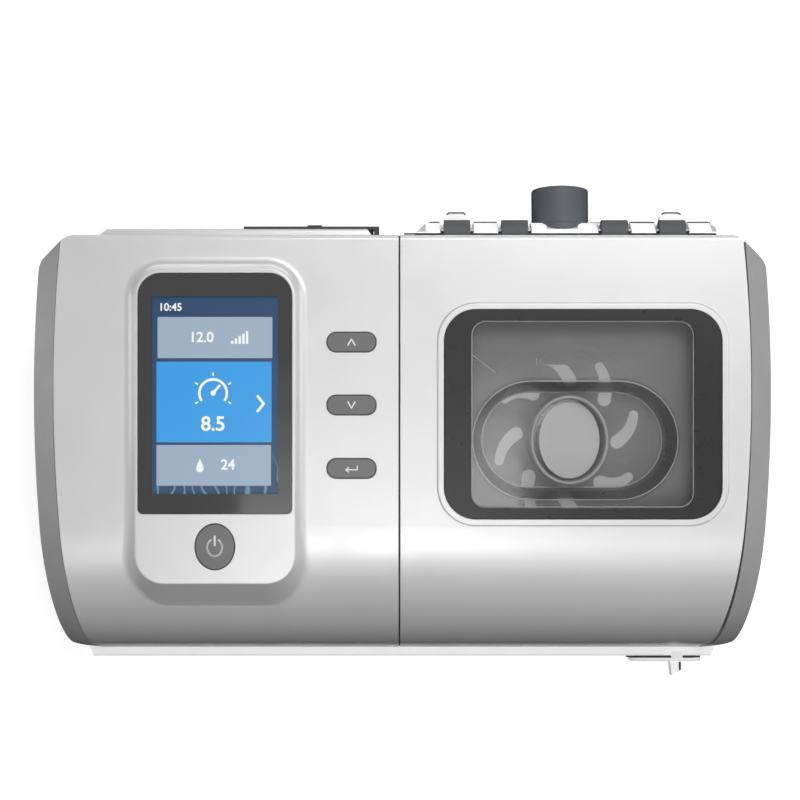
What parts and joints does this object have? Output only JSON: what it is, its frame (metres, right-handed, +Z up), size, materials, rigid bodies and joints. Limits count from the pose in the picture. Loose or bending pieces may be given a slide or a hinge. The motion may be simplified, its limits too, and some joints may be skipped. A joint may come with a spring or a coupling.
{
  "type": "breathing therapy machine",
  "caption": "Bench-top breathing-therapy unit: a blower module with a raised display pad, keys and a power button, beside a heated water chamber under a hinged lid with a window.",
  "frame": {"origin": "middle of the overall box, on the surface that the rubber feet stand on", "axes": "+X to the user's right, +Y to the back where the hose leaves, +Z up"},
  "size_m": [0.283, 0.1912, 0.0973],
  "materials": {
    "shell": "satin silver-white lacquer",
    "plinth": "satin",
    "end_cap": "satin",
    "filter_door": "fine grain",
    "bezel_glass": "gloss, smoked round the display",
    "screen": "gloss",
    "button_grey": "satin",
    "circuit_board": "solder mask",
    "switch_black": "moulded",
    "rubber": "matte",
    "steel": "satin",
    "aluminium": "satin",
    "rotor_iron": "ground",
    "inner_plastic": "moulded",
    "foam": "open foam",
    "card": "moulded",
    "smoke_plastic": "translucent, smoked",
    "slate": "satin",
    "hinge_grey": "satin",
    "white_plastic": "satin",
    "lock_grey": "satin",
    "frame_dark": "satin gloss",
    "clear_pane": "clear"
  },
  "bodies": {
    "root": {"main_cover": "shell", "rear_case": "shell", "rear_panel": "shell", "base_tray": "plinth", "right_end_cap": "end_cap", "left_end_cap": "end_cap", "display_glass": "bezel_glass", "lcd_panel": "screen", "control_board": "circuit_board", "key_switches": "switch_black", "power_socket": "switch_black", "card_reader": "switch_black", "rubber_feet": "rubber", "blower_mounts": "rubber", "air_duct": "rubber", "heater_gasket": "rubber", "tank_seal": "rubber", "base_screws": "steel", "motor_bearings": "steel", "heater_springs": "steel", "tank_base_plate": "steel", "motor_stator": "aluminium", "blower_housing": "inner_plastic", "blower_cover": "inner_plastic", "humidifier_bay": "inner_plastic", "muffler_foam": "foam", "air_filter": "foam", "water_tank": "smoke_plastic", "tank_lid": "smoke_plastic", "splash_baffle": "smoke_plastic", "outlet_manifold": "smoke_plastic", "outlet_connector": "slate", "rear_trim": "slate", "rear_catches": "white_plastic", "lock_bezel": "white_plastic"},
    "lid": {"chamber_lid": "shell", "window_frame": "frame_dark", "window_pane": "clear_pane", "lid_seal": "rubber", "hinge_knuckles": "hinge_grey", "hinge_pins": "steel", "lid_striker": "white_plastic"},
    "fan_rotor": {"impeller": "inner_plastic", "motor_shaft": "steel", "motor_rotor": "rotor_iron"},
    "power": {"power_button": "button_grey"},
    "up": {"up_button": "button_grey"},
    "down": {"down_button": "button_grey"},
    "enter": {"enter_button": "button_grey"},
    "filter_door": {"filter_cover": "filter_door"},
    "card": {"memory_card": "card"},
    "heater": {"heater_plate": "aluminium"},
    "lock": {"lock_slider": "lock_grey"}
  },
  "joints": [
    {"name": "lid_hinge", "type": "hinge", "parent": "root", "child": "lid", "pos_m": [0, 0.0783, 0.0896], "axis": [-1, 0, 0], "range_deg": [0, 95]},
    {"name": "power_press", "type": "slide", "parent": "root", "child": "power", "axis": [0, 0.0872, -0.9962], "range_m": [0, 0.0008], "stiffness_N_per_m": 400, "springref_m": -0.001},
    {"name": "up_press", "type": "slide", "parent": "root", "child": "up", "axis": [0, 0.0872, -0.9962], "range_m": [0, 0.0008], "stiffness_N_per_m": 400, "springref_m": -0.001},
    {"name": "down_press", "type": "slide", "parent": "root", "child": "down", "axis": [0, 0.0872, -0.9962], "range_m": [0, 0.0008], "stiffness_N_per_m": 400, "springref_m": -0.001},
    {"name": "enter_press", "type": "slide", "parent": "root", "child": "enter", "axis": [0, 0.0872, -0.9962], "range_m": [0, 0.0008], "stiffness_N_per_m": 400, "springref_m": -0.001},
    {"name": "lock_slide", "type": "slide", "parent": "root", "child": "lock", "axis": [-1, 0, 0], "range_m": [0, 0.012]},
    {"name": "impeller_spin", "type": "hinge", "parent": "root", "child": "fan_rotor", "pos_m": [-0.072, 0.002, 0.047], "axis": [0, 0, 1], "continuous": true},
    {"name": "filter_door_hinge", "type": "hinge", "parent": "root", "child": "filter_door", "pos_m": [-0.037, 0.07816, 0.0309], "axis": [-1, 0, 0], "range_deg": [0, 75]},
    {"name": "card_pull", "type": "slide", "parent": "root", "child": "card", "axis": [0, 1, 0], "range_m": [0, 0.02]},
    {"name": "heater_float", "type": "slide", "parent": "root", "child": "heater", "axis": [0, 0, -1], "range_m": [0, 0.0015], "stiffness_N_per_m": 1500, "springref_m": -0.002, "deforming": ["heater_springs"]}
  ]
}
